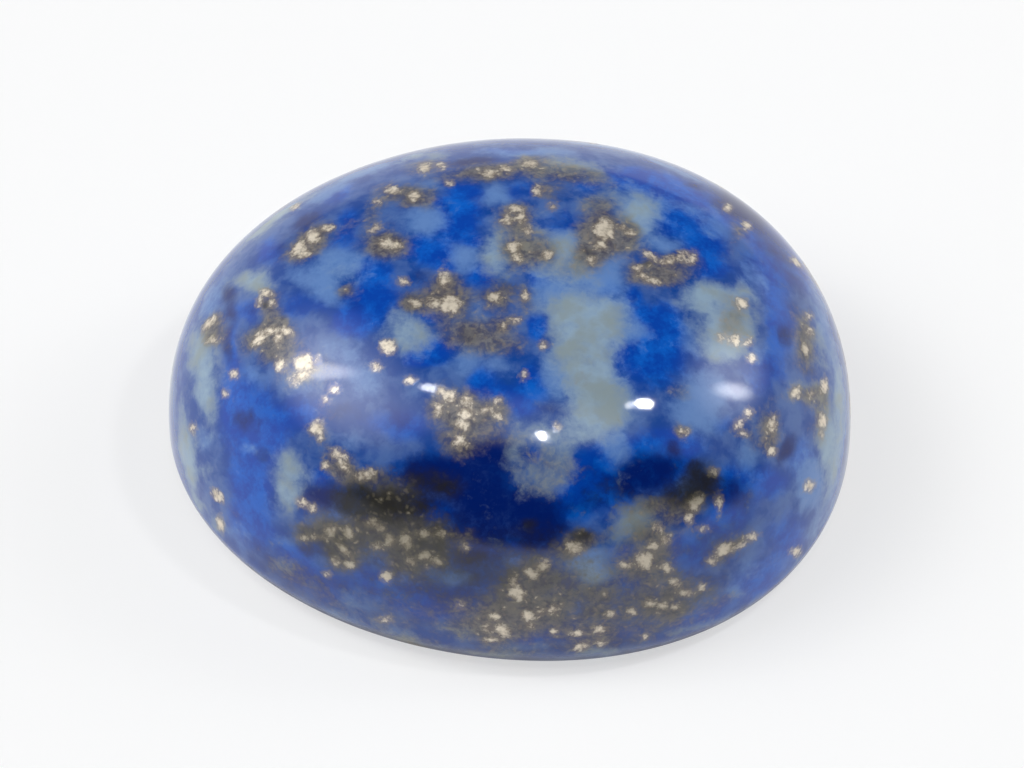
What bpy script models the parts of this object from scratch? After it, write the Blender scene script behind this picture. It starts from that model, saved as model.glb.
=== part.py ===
"""A polished lapis lazuli cabochon: one piece of stone, ground to a domed oval with a flat base.

Metres, +Z up. The stone lies on its flat base at z = 0, its long axis along +X, and its blunter
end is at +X. The origin is on the base, below the middle of the outline.
"""

from math import atan2, cos, hypot, pi, sin

import bmesh
import bpy

# Driving dimensions
LENGTH = 0.0180
WIDTH = 0.0150
HEIGHT = 0.0076
GIRDLE_HEIGHT = 0.0012  # the outline is widest here; the dome starts above it
BASE_INSET = 0.0012  # how far the rounded lower edge draws in before the flat base

# Character of the curves
PLAN_POWER = 2.05  # 2 is an ellipse, and more is squarer in its four quarters
BLUNTNESS = 0.08  # share of the half length by which the widest place lies towards +X
DOME_POWER = 2.4  # 2 is an elliptical dome, and more has a flatter crown and fuller shoulders
EDGE_POWER = 2.0  # the same for the rounded lower edge

# How finely the curves are divided
AROUND = 96
DOME_RINGS = 25
EDGE_RINGS = 6

# The polished stone
LAPIS_BLUE = (0.030, 0.110, 0.420, 1.0)
POLISH_ROUGHNESS = 0.10

MERGE_DISTANCE = 1e-7


def clear_scene():
    for item in list(bpy.data.objects):
        bpy.data.objects.remove(item, do_unlink=True)


def signed_power(value, power):
    """value raised to 2 / power with its sign kept: the coordinate of a superellipse."""
    return (abs(value) ** (2 / power)) * (1 if value >= 0 else -1)


def side_profile():
    """(share of the outline, height) from the middle of the base, out and up to the summit."""
    half_length = LENGTH / 2
    inset = BASE_INSET / half_length
    dome_height = HEIGHT - GIRDLE_HEIGHT
    profile = [(0.0, 0.0)]
    for step in range(EDGE_RINGS):
        turn = pi / 2 * (1 - step / EDGE_RINGS)
        share = 1 - inset * (1 - signed_power(cos(turn), EDGE_POWER))
        height = GIRDLE_HEIGHT * (1 - signed_power(sin(turn), EDGE_POWER))
        profile.append((share, height))
    for step in range(DOME_RINGS):
        turn = pi / 2 * step / DOME_RINGS
        share = signed_power(cos(turn), DOME_POWER)
        height = GIRDLE_HEIGHT + dome_height * signed_power(sin(turn), DOME_POWER)
        profile.append((share, height))
    profile.append((0.0, HEIGHT))
    return profile


def outline_point(turn):
    """The outline at this angle, as seen from above: a superellipse, fuller towards +X."""
    along = signed_power(cos(turn), PLAN_POWER) + BLUNTNESS * sin(turn) ** 2
    across = signed_power(sin(turn), PLAN_POWER)
    return LENGTH / 2 * along, WIDTH / 2 * across


def spin_profile(shape, profile):
    """Turns the profile about +Z into a closed round body of radius 1."""
    corners = [shape.verts.new((share, 0.0, height)) for share, height in profile]
    edges = [shape.edges.new(pair) for pair in zip(corners, corners[1:])]
    bmesh.ops.spin(
        shape,
        geom=corners + edges,
        cent=(0, 0, 0),
        axis=(0, 0, 1),
        angle=2 * pi,
        steps=AROUND,
        use_merge=True,
    )
    bmesh.ops.remove_doubles(shape, verts=shape.verts, dist=MERGE_DISTANCE)
    bmesh.ops.dissolve_degenerate(shape, edges=shape.edges, dist=MERGE_DISTANCE)


def stretch_to_outline(shape):
    """Moves each ring of the round body onto the stone's oval outline."""
    for corner in shape.verts:
        share = hypot(corner.co.x, corner.co.y)
        if share < MERGE_DISTANCE:
            continue
        along, across = outline_point(atan2(corner.co.y, corner.co.x))
        corner.co.x = share * along
        corner.co.y = share * across


def flatten_base(shape):
    """Makes the fan of triangles under the stone one flat face."""
    under = [face for face in shape.faces if max(corner.co.z for corner in face.verts) < MERGE_DISTANCE]
    bmesh.ops.dissolve_faces(shape, faces=under)


def polished_lapis():
    material = bpy.data.materials.new("polished_lapis")
    material.use_nodes = True
    surface = material.node_tree.nodes["Principled BSDF"]
    surface.inputs["Base Color"].default_value = LAPIS_BLUE
    surface.inputs["Roughness"].default_value = POLISH_ROUGHNESS
    surface.inputs["Metallic"].default_value = 0.0
    return material


def make_cabochon():
    shape = bmesh.new()
    spin_profile(shape, side_profile())
    stretch_to_outline(shape)
    flatten_base(shape)
    bmesh.ops.recalc_face_normals(shape, faces=shape.faces)
    mesh = bpy.data.meshes.new("lapis_cabochon")
    shape.to_mesh(mesh)
    shape.free()
    mesh.shade_smooth()
    mesh.set_sharp_from_angle(angle=pi / 4)
    mesh.materials.append(polished_lapis())
    stone = bpy.data.objects.new("lapis_cabochon", mesh)
    bpy.context.scene.collection.objects.link(stone)
    return stone


clear_scene()
make_cabochon()
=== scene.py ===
# %% [markdown]
# # A polished lapis lazuli cabochon
#
# The object is one stone: a block of lapis lazuli that was sawn, ground to a domed oval and polished until
# it mirrors its surroundings. The imported model gives its exact size and place. This lesson builds the
# surface that is seen: a dense smooth skin for the dome, and the rock's own pattern of blue lazurite, pale
# calcite, dark gangue and grains of pyrite.
# Some of the darker marks across the front of the dome are painted shade and painted dark reflection, and
# some pale strips at the rim are painted reflection.

import math
import random

import bpy
import numpy as np
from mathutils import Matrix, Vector, noise
from mathutils.kdtree import KDTree


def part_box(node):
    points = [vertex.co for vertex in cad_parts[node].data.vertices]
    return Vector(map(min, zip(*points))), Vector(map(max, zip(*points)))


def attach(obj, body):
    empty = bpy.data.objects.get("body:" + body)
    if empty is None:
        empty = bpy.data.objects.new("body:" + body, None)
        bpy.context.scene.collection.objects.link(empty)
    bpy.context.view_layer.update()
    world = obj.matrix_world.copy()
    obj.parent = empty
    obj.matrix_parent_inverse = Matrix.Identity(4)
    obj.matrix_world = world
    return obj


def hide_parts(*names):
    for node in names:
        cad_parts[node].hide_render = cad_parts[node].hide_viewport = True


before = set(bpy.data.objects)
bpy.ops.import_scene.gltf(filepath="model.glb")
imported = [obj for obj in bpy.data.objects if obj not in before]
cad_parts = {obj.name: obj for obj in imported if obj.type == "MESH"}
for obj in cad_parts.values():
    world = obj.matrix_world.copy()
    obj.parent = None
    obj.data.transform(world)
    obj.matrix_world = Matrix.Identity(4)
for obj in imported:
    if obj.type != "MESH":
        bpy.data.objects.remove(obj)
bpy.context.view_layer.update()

STONE_LOW, STONE_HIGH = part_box("lapis_cabochon")
MM = 0.001

LENGTH = STONE_HIGH.x - STONE_LOW.x
WIDTH = STONE_HIGH.y - STONE_LOW.y
HEIGHT = STONE_HIGH.z - STONE_LOW.z
print("stone, mm:", [round(size / MM, 2) for size in (LENGTH, WIDTH, HEIGHT)])

# %% [markdown]
# ## The camera
#
# A close-up like this is taken with a long lens from about two hands' widths away, looking down at the
# stone by about 50 degrees. The camera comes first, because the markings of the stone are placed where the
# camera sees them. Its distance is counted from the middle of the girdle, the widest line of the stone.

# %% Place the camera
GIRDLE_HEIGHT = 1.2 * MM
LOOK_DOWN = math.radians(52.0)
LOOK_ASIDE = math.radians(3.0)
CAMERA_DISTANCE = 216 * MM
SENSOR_WIDTH = 36.0
PICTURE_WIDTH, PICTURE_HEIGHT = 1024, 768
PIXELS_PER_MM = 37.9
GIRDLE_PIXEL = (509.5, 420.0)

girdle_middle = Vector((0, 0, GIRDLE_HEIGHT))
to_camera = Vector((
    math.sin(LOOK_ASIDE) * math.cos(LOOK_DOWN),
    -math.cos(LOOK_ASIDE) * math.cos(LOOK_DOWN),
    math.sin(LOOK_DOWN),
))
camera_right = Vector((math.cos(LOOK_ASIDE), math.sin(LOOK_ASIDE), 0))
camera_up = to_camera.cross(camera_right)

camera_place = (
    girdle_middle
    + to_camera * CAMERA_DISTANCE
    + camera_right * (PICTURE_WIDTH / 2 - GIRDLE_PIXEL[0]) / PIXELS_PER_MM * MM
    + camera_up * (GIRDLE_PIXEL[1] - PICTURE_HEIGHT / 2) / PIXELS_PER_MM * MM
)
focal_pixels = PIXELS_PER_MM * CAMERA_DISTANCE / MM

lens = bpy.data.cameras.new("close_up_lens")
lens.sensor_fit = "HORIZONTAL"
lens.sensor_width = SENSOR_WIDTH
lens.lens = focal_pixels / PICTURE_WIDTH * SENSOR_WIDTH
lens.clip_start = 0.005
lens.clip_end = 20
camera = bpy.data.objects.new("camera", lens)
camera.location = camera_place
camera.rotation_euler = (-to_camera).to_track_quat("-Z", "Y").to_euler()
bpy.context.scene.collection.objects.link(camera)
bpy.context.scene.camera = camera
bpy.context.scene.view_settings.view_transform = "Standard"
print("lens, mm:", round(lens.lens, 1))


def ray_through(x, y):
    """The direction from the camera through this pixel of the 1024 by 768 picture."""
    aside = (x - PICTURE_WIDTH / 2) / focal_pixels
    upward = (PICTURE_HEIGHT / 2 - y) / focal_pixels
    return (camera_right * aside + camera_up * upward - to_camera).normalized()


# %% [markdown]
# ## The ground and polished form
#
# A lapidary starts from a sawn block and grinds it round. A cube does the same here: cut into a fine grid
# and blown up to a ball, it has no poles, so no reflection will pinch at the summit as it would on a sphere
# made of meridians. Subdividing twice gives 128 steps along each edge of the cube.

# %% Rough out a ball of even squares
FIRST_CUTS, SECOND_CUTS = 15, 7

bpy.ops.object.select_all(action="DESELECT")
bpy.ops.mesh.primitive_cube_add(size=2, location=(0, 0, 0))
stone = bpy.context.object
stone.name = "polished_stone"
bpy.ops.object.mode_set(mode="EDIT")
bpy.ops.mesh.select_all(action="SELECT")
bpy.ops.mesh.subdivide(number_cuts=FIRST_CUTS)
bpy.ops.mesh.subdivide(number_cuts=SECOND_CUTS)
bpy.ops.object.mode_set(mode="OBJECT")


def corners_of(piece):
    """The places of a piece's corners, as rows."""
    places = np.empty(len(piece.data.vertices) * 3, np.float32)
    piece.data.vertices.foreach_get("co", places)
    return places.reshape(-1, 3).astype(float)


def set_corners(piece, places):
    """Moves a piece's corners to these places."""
    piece.data.vertices.foreach_set("co", places.astype(np.float32).ravel())
    piece.data.update()


grid = np.tan(corners_of(stone) * math.pi / 4)
ball = grid / np.linalg.norm(grid, axis=1, keepdims=True)
print("skin:", len(stone.data.polygons), "squares")

# %% [markdown]
# A cabochon is described by two curves, as on the templates a cutter holds against the stone. The outline
# is seen from above: almost an ellipse, a little squarer, and fuller towards the blunt end at +X. The
# profile is seen from the side: a full shoulder under a flatter crown, and below the girdle a rounded edge
# that draws in to the flat base. Each point of the ball moves along the profile by its angle from the
# summit, and then out to the outline.

# %% Shape the ball to the cutter's two templates
BASE_INSET = 1.2 * MM
PLAN_POWER = 2.05
BLUNTNESS = 0.08
DOME_POWER = 2.4
DOME_SHARE_OF_TURN = 0.66
PROFILE_STEPS = 4000


def signed_power(value, power):
    """The coordinate of a superellipse: value raised to 2 / power, with its sign kept."""
    return np.sign(value) * np.abs(value) ** (2 / power)


def side_profile():
    """Shares of the outline and heights, from the summit down to the middle of the base."""
    down = np.linspace(math.pi / 2, 0, PROFILE_STEPS)
    dome_share = signed_power(np.cos(down), DOME_POWER)
    dome_height = GIRDLE_HEIGHT + (HEIGHT - GIRDLE_HEIGHT) * signed_power(np.sin(down), DOME_POWER)
    under = np.linspace(0, math.pi / 2, PROFILE_STEPS)
    edge_share = 1 - BASE_INSET / (LENGTH / 2) * (1 - np.cos(under))
    edge_height = GIRDLE_HEIGHT * (1 - np.sin(under))
    base_share = np.linspace(edge_share[-1], 0, PROFILE_STEPS)
    return [
        (dome_share, dome_height),
        (np.append(edge_share, base_share[1:]), np.append(edge_height, 0 * base_share[1:])),
    ]


def along_curve(part, share, height):
    """The point of a curve at each fraction of its length."""
    steps = np.hypot(np.diff(share) * (LENGTH + WIDTH) / 4, np.diff(height))
    reached = np.append(0, np.cumsum(steps)) / steps.sum()
    return np.interp(part, reached, share), np.interp(part, reached, height)


turned = np.arccos(np.clip(ball[:, 2], -1, 1)) / math.pi
dome_curve, under_curve = side_profile()
on_dome = turned < DOME_SHARE_OF_TURN
dome = along_curve(turned / DOME_SHARE_OF_TURN, *dome_curve)
under = along_curve((turned - DOME_SHARE_OF_TURN) / (1 - DOME_SHARE_OF_TURN), *under_curve)
share = np.where(on_dome, dome[0], under[0])
height = np.where(on_dome, dome[1], under[1])

bearing = np.arctan2(ball[:, 1], ball[:, 0])
outline_x = LENGTH / 2 * (signed_power(np.cos(bearing), PLAN_POWER) + BLUNTNESS * np.sin(bearing) ** 2)
outline_y = WIDTH / 2 * signed_power(np.sin(bearing), PLAN_POWER)
skin = np.stack([share * outline_x, share * outline_y, height], axis=1)
set_corners(stone, skin)
stone.data.shade_smooth()
print("shaped, mm:", np.round(np.ptp(skin, axis=0) / MM, 3))

# %% [markdown]
# ## Places on the stone
#
# The markings are laid out as the camera sees them: a place is a pixel, and a ray from the camera finds the
# spot of the dome behind it. From there on a marking lives on the stone itself, as a patch in three
# dimensions, so it looks right from every side.

# %% Find a spot of the dome behind a pixel
bpy.context.view_layer.update()
normals = np.empty(len(stone.data.vertices) * 3, np.float32)
stone.data.vertices.foreach_get("normal", normals)
normals = normals.reshape(-1, 3).astype(float)


def spot_behind(x, y):
    """The place and the normal of the dome behind a pixel, or None beside the stone."""
    found, place, normal, _ = stone.ray_cast(camera_place, ray_through(x, y))
    return (np.array(place), np.array(normal)) if found else None


LEAST_FACING = 0.45


def patch_behind(x, y, long_half, short_half, turn):
    """Middle and the two half axes, in metres, of an oval seen at a pixel; turn is anticlockwise."""
    middle, normal = spot_behind(x, y)
    axes = []
    for half, angle in ((long_half, turn), (short_half, turn + 90)):
        aside, upward = math.cos(math.radians(angle)), math.sin(math.radians(angle))
        seen = np.array(camera_right * aside + camera_up * upward)
        tangent = seen - normal * (seen @ normal)
        facing = max(normal @ np.array(to_camera), LEAST_FACING)
        tangent_length = np.linalg.norm(tangent)
        slant = seen @ tangent / tangent_length
        reach = half / PIXELS_PER_MM * MM / max(slant, facing)
        axes.append(tangent / tangent_length * reach)
    return middle, normal, axes[0], axes[1]


# %% [markdown]
# ## The rock's pattern
#
# Lapis lazuli is a mixture. Blue lazurite is the ground, here clear, there deep; calcite lies in it as pale
# veils and grey clouds; fine silicates and pyrite gather in smoky patches, a few of them nearly black. Each
# of these is listed: the pixel where it is seen, its two half sizes in pixels, its turn in degrees, and how
# strongly it shows.
# Some of the deep blue, smoke and soot across the front of the dome is painted shade, and the near-black
# soot there is partly painted dark reflection. Some pale strips at the rim are painted reflection.

# %% Clear blue lazurite
CLEAR_BLUE = [
    # upper left
    (270, 250, 14, 14, 0, 0.8), (345, 240, 14, 12, 0, 0.6), (350, 220, 16, 12, 0, 0.7),
    (340, 193, 20, 8, 25, 0.6), (370, 302, 26, 20, 20, 1), (352, 322, 18, 12, 0, 1),
    (367, 268, 10, 12, 0, 0.8), (380, 275, 14, 12, 0, 0.7), (245, 310, 18, 12, 0, 0.7),
    (300, 305, 25, 12, 0, 0.6), (425, 250, 16, 13, 0, 0.9), (445, 258, 12, 13, 0, 1),
    # top and upper right
    (456, 215, 24, 28, 0, 1), (470, 193, 14, 8, 0, 0.7), (470, 240, 12, 6, 0, 0.7),
    (520, 190, 14, 11, 0, 0.6), (560, 222, 18, 13, 0, 0.5), (587, 186, 15, 8, 0, 0.7),
    (482, 275, 14, 12, 0, 1), (540, 280, 10, 8, 0, 0.9), (607, 285, 13, 9, 0, 0.8),
    (630, 180, 22, 9, -10, 0.9), (660, 178, 40, 8, -14, 0.9), (682, 220, 24, 14, 0, 1),
    (706, 243, 22, 18, 0, 1), (712, 268, 16, 10, 0, 0.9), (632, 298, 10, 9, 0, 1),
    (650, 315, 16, 12, 0, 1), (778, 300, 12, 30, 8, 0.8), (802, 268, 14, 30, 35, 1),
    (760, 228, 26, 18, -45, 1), (672, 196, 30, 12, -16, 1), (716, 206, 26, 12, -28, 1),
    (778, 262, 26, 26, -50, 1), (510, 150, 34, 5, 0, 0.5),
    # middle
    (650, 355, 38, 28, 0, 1), (668, 325, 14, 18, 0, 1), (538, 328, 9, 14, 0, 1), (435, 350, 20, 12, 0, 1),
    (415, 358, 14, 6, 0, 0.8), (430, 315, 12, 7, 0, 0.7), (480, 382, 13, 14, 0, 1),
    (500, 392, 18, 8, 0, 0.7), (532, 385, 14, 22, 0, 1), (525, 405, 16, 8, 0, 1),
    (605, 437, 6, 10, 0, 0.9), (655, 450, 36, 18, 0, 1), (680, 445, 20, 14, 0, 0.8),
    (735, 490, 22, 24, 0, 1), (720, 425, 12, 10, 0, 0.6), (766, 372, 18, 18, 0, 0.8),
    (780, 335, 14, 22, 0, 0.8), (533, 457, 6, 9, 0, 1),
    # left
    (230, 350, 8, 26, 0, 0.9), (242, 415, 24, 40, 0, 1), (265, 430, 20, 24, 0, 1),
    (300, 415, 24, 18, 0, 0.7), (250, 490, 22, 40, 0, 1), (250, 530, 24, 20, -30, 0.9),
    (310, 578, 40, 16, -32, 0.9), (300, 550, 20, 14, 0, 0.7), (398, 424, 28, 16, 0, 0.9),
    (325, 475, 14, 12, 0, 0.8),
    # below
    (430, 510, 16, 9, 0, 0.9), (570, 505, 24, 20, 0, 1), (436, 512, 18, 10, 0, 1),
    (640, 472, 20, 15, 0, 1), (668, 470, 16, 16, 0, 0.8), (592, 475, 20, 24, 0, 1),
    (612, 488, 20, 24, 0, 1), (500, 545, 42, 8, 0, 1), (430, 602, 44, 18, -4, 1),
    (370, 582, 24, 14, -10, 0.8), (550, 638, 52, 7, 0, 0.9), (617, 551, 8, 7, 0, 1),
    (692, 552, 24, 20, 0, 0.9), (726, 518, 20, 20, 0, 0.9), (757, 582, 34, 18, 30, 0.8),
    (790, 538, 22, 22, 0, 0.7), (700, 618, 30, 9, 18, 0.9), (630, 632, 11, 6, 0, 0.9),
    (770, 482, 20, 14, 0, 0.9), (802, 460, 14, 20, 0, 0.6),
]

# %% [markdown]
# Deep blue is the same lazurite with no calcite in it to lighten it. On this stone it lies across the front
# of the dome, and in small spots elsewhere. Across the front, and in wide bands and thin strips near the
# lower edge, it is partly painted shade that makes the face of the dome darker.

# %% Deep blue lazurite, partly painted shade across the front
DEEP_BLUE_AND_FRONT_SHADE = [
    # the deepest blue runs across the front of the dome, partly as painted shade
    (480, 495, 42, 38, 0, 1), (440, 475, 24, 18, 0, 0.9), (490, 452, 34, 14, 0, 1),
    (470, 535, 34, 14, 0, 0.7), (540, 528, 26, 14, 0, 1), (532, 507, 30, 15, 0, 1),
    (595, 505, 20, 14, 0, 0.4), (655, 472, 30, 22, 0, 0.9), (630, 480, 20, 16, 0, 0.8),
    (590, 480, 26, 30, 0, 0.35), (418, 476, 20, 13, 0, 0.9), (324, 498, 26, 16, 0, 1),
    (424, 500, 16, 12, 0, 0.8), (738, 497, 18, 16, 0, 0.8), (366, 525, 11, 8, 0, 0.9),
    (475, 557, 16, 8, 0, 0.8), (545, 550, 20, 8, 0, 0.6), (715, 485, 14, 14, 0, 0.5),
    # smaller spots
    (305, 220, 16, 7, 32, 0.8), (228, 292, 8, 11, 0, 0.7), (231, 313, 9, 12, 0, 0.7),
    (251, 308, 8, 8, 0, 0.5), (352, 306, 9, 6, 0, 0.4), (472, 161, 24, 5, 6, 0.9),
    (448, 210, 8, 10, 0, 0.35), (553, 194, 11, 8, 0, 0.5), (425, 276, 15, 13, 0, 0.45),
    (510, 289, 14, 13, 0, 0.5), (577, 275, 9, 13, 0, 0.4), (693, 186, 13, 5, -18, 0.6),
    (727, 204, 12, 6, 0, 0.6), (742, 208, 34, 18, -35, 1), (778, 247, 30, 20, -50, 0.6),
    (798, 285, 12, 24, 20, 0.4), (650, 264, 9, 6, 0, 0.6), (632, 298, 7, 7, 0, 0.4),
    (782, 305, 11, 26, 5, 0.3), (786, 336, 8, 13, 0, 0.7), (765, 372, 14, 12, 0, 0.4),
    (437, 357, 8, 6, 0, 0.4), (545, 341, 7, 8, 0, 0.4), (545, 408, 22, 8, 0, 0.5),
    (340, 412, 18, 9, 0, 0.4), (242, 420, 9, 9, 0, 0.5), (262, 455, 7, 9, 0, 0.6),
    (227, 345, 7, 20, 0, 0.8), (787, 450, 8, 15, -30, 0.8), (672, 450, 7, 6, 0, 0.8),
    (718, 415, 10, 13, 0, 0.4), (810, 370, 7, 6, 0, 0.6), (382, 558, 14, 7, 0, 0.4),
    # from here on, the wide bands over the lower front and the thin strips along the lower edge are painted
    # shade
    (617, 551, 6, 5, 0, 0.5), (560, 638, 30, 4, 0, 0.3), (570, 605, 120, 26, 0, 0.5),
    (450, 600, 70, 16, -6, 0.5), (500, 545, 60, 16, 0, 0.5), (600, 635, 90, 12, 0, 0.5),
    (275, 565, 60, 18, -38, 0.5), (350, 597, 70, 14, -20, 0.4), (400, 413, 26, 12, 0, 0.4),
    (250, 420, 18, 20, 0, 0.4), (375, 632, 60, 10, -17, 0.5), (490, 652, 80, 7, 0, 0.6),
    (605, 648, 40, 7, 8, 0.5), (390, 438, 26, 20, 0, 0.35), (285, 248, 18, 14, 40, 0.5),
]

# %% [markdown]
# Calcite so fine or thin that the blue shines through makes pale veils. Noise alone could make veils, but
# it wouldn't put them where this stone has them. The thin pale strips at the top and right rim and just
# above the lower edge are painted reflection of the white tent.

# %% Pale veils of calcite in the blue, and painted reflection at the rim
PALE_BLUE = [
    # the thin strips along the top rim, the long one at the right rim and the line just above the lower
    # edge are painted reflection of the white tent, not calcite
    (345, 262, 23, 15, 0, 1), (322, 280, 14, 17, 0, 0.9), (297, 277, 13, 12, 0, 0.7),
    (330, 297, 13, 10, 0, 0.6), (362, 172, 40, 7, 20, 1), (328, 192, 26, 7, 30, 0.8),
    (210, 300, 8, 26, -22, 0.8), (425, 218, 20, 16, 0, 1), (495, 196, 17, 12, 0, 0.8),
    (430, 186, 15, 6, 0, 0.6), (463, 256, 15, 14, 0, 0.9), (475, 310, 12, 14, 0, 0.6),
    (556, 290, 24, 20, 0, 0.9), (565, 243, 18, 14, 0, 0.9), (540, 151, 62, 6, 0, 0.6),
    (638, 215, 26, 26, 0, 1), (596, 272, 28, 18, 0, 1), (690, 206, 34, 6, -10, 0.5),
    (668, 166, 42, 4, -24, 0.8), (600, 145, 30, 4, -8, 1), (640, 153, 26, 5, -16, 1),
    (665, 245, 16, 8, 0, 0.8), (755, 280, 12, 24, 10, 0.6), (822, 312, 8, 30, 12, 0.7),
    (842, 420, 9, 90, 0, 1), (592, 325, 28, 44, 0, 0.7), (612, 316, 22, 22, 0, 0.8),
    (635, 331, 16, 9, 0, 0.7), (692, 342, 12, 20, 0, 0.5), (755, 355, 8, 10, 0, 0.7),
    (465, 361, 15, 12, 0, 0.7), (500, 365, 15, 14, 0, 0.5), (558, 375, 16, 26, 0, 0.9),
    (612, 400, 24, 32, 0, 0.9), (618, 446, 13, 18, 0, 0.8), (712, 226, 22, 10, -30, 0.5),
    (702, 400, 28, 20, 0, 0.5), (690, 417, 18, 16, 0, 0.7), (746, 456, 14, 22, 0, 0.6),
    (812, 484, 16, 26, 0, 1), (255, 375, 12, 14, 0, 0.5), (250, 450, 10, 9, 0, 0.5),
    (205, 440, 8, 16, 0, 0.5), (300, 385, 22, 14, 0, 0.6), (340, 350, 20, 14, 0, 0.5),
    (360, 378, 22, 20, 0, 0.7), (704, 392, 20, 22, 0, 0.8), (672, 425, 16, 10, 0, 0.2),
    (704, 428, 16, 12, 0, 0.7), (340, 441, 20, 11, 0, 0.5), (240, 535, 10, 14, 40, 0.5),
    (286, 540, 15, 8, 0, 0.4), (450, 579, 18, 8, 0, 0.7), (432, 570, 18, 8, 0, 0.5),
    (350, 622, 32, 6, -20, 0.5), (400, 634, 32, 5, -12, 0.5), (590, 562, 32, 18, 0, 1),
    (560, 598, 30, 20, 0, 0.5), (745, 570, 17, 10, 0, 0.5), (735, 590, 13, 8, 0, 0.5),
    (815, 528, 9, 18, -35, 0.5), (745, 610, 26, 5, 27, 0.5), (525, 648, 36, 4, 0, 0.5),
    (415, 400, 16, 16, 0, 0.3), (480, 340, 20, 14, 0, 0.4), (735, 590, 12, 7, 0, 0.4),
    (360, 604, 22, 12, -10, 0.5),
]

# %% [markdown]
# Thicker calcite is a grey cloud with a hint of blue. The largest runs down the face of the dome, right of
# its middle.

# %% Grey clouds of calcite, and painted reflection at the right rim
CALCITE_AND_RIM_SHEEN = [
    (578, 340, 26, 34, 0, 1), (592, 310, 26, 16, 0, 0.8), (565, 310, 16, 14, 0, 0.6),
    (590, 375, 22, 30, 0, 1), (595, 420, 24, 20, 0, 0.8), (540, 430, 28, 14, 0, 0.5),
    (570, 432, 16, 12, 0, 0.5), (557, 452, 16, 16, 0, 0.5), (538, 474, 27, 18, 0, 0.6),
    (560, 478, 14, 16, 0, 0.3), (515, 455, 8, 12, 0, 0.4), (565, 246, 16, 13, 0, 0.6),
    (572, 270, 20, 16, 0, 0.7), (600, 200, 22, 14, 0, 0.5), (498, 248, 16, 16, 0, 0.8),
    (705, 298, 22, 16, 0, 1), (726, 325, 24, 24, 0, 1), (722, 350, 18, 12, 0, 1),
    (640, 214, 18, 22, 0, 0.9), (250, 280, 22, 12, 0, 0.8), (262, 288, 10, 8, 0, 0.5),
    (276, 217, 40, 8, 38, 0.9), (404, 318, 14, 12, 0, 0.6), (412, 338, 14, 12, 0, 0.4),
    (200, 350, 15, 30, 0, 0.9), (204, 388, 10, 26, 0, 0.9), (210, 415, 8, 16, 0, 0.5),
    (187, 455, 10, 34, 8, 1), (205, 470, 8, 8, 0, 0.5), (285, 462, 14, 14, 0, 0.8),
    (285, 490, 13, 22, 0, 0.9), (196, 500, 6, 16, 25, 0.6), (218, 525, 7, 14, 20, 0.6),
    (636, 524, 22, 20, 0, 0.8), (612, 540, 16, 10, 0, 0.4), (644, 508, 20, 10, 0, 0.5),
    (565, 166, 44, 9, -5, 0.8), (415, 155, 22, 5, 20, 0.6), (436, 157, 14, 6, 10, 0.6),
    # the thin ones at the right rim, here and at (842, 410), are partly painted reflection of the white
    # tent
    (830, 440, 10, 38, 0, 1), (834, 470, 7, 24, -12, 0.8), (820, 345, 8, 30, 5, 0.5),
    (838, 395, 5, 34, 0, 0.7), (808, 392, 20, 10, 0, 0.6), (590, 574, 26, 13, 0, 0.7),
    (460, 632, 22, 9, -4, 0.5), (410, 642, 26, 4, -10, 0.6), (500, 655, 40, 4, 0, 0.6),
    (600, 652, 30, 4, 5, 0.6), (283, 565, 11, 11, 0, 0.4), (496, 264, 14, 17, 0, 0.7),
    (530, 236, 18, 20, 0, 0.6), (800, 555, 7, 8, 0, 0.4), (812, 282, 6, 14, 25, 0.5),
    (690, 628, 30, 4, 14, 0.5), (398, 335, 16, 18, 0, 0.6), (420, 340, 18, 14, 0, 0.5),
    (606, 400, 24, 22, 0, 1), (603, 328, 20, 20, 0, 1), (560, 255, 18, 14, 0, 0.3),
    (742, 295, 14, 14, 0, 0.7), (742, 325, 14, 20, 0, 0.9), (345, 270, 22, 14, 0, 0.35),
    (548, 262, 26, 16, 0, 0.35), (530, 302, 12, 14, 0, 0.35), (585, 325, 30, 22, 0, 0.4),
    (842, 410, 7, 50, 0, 0.7), (181, 410, 6, 24, 0, 0.5), (300, 480, 12, 14, 0, 0.6),
]
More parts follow.
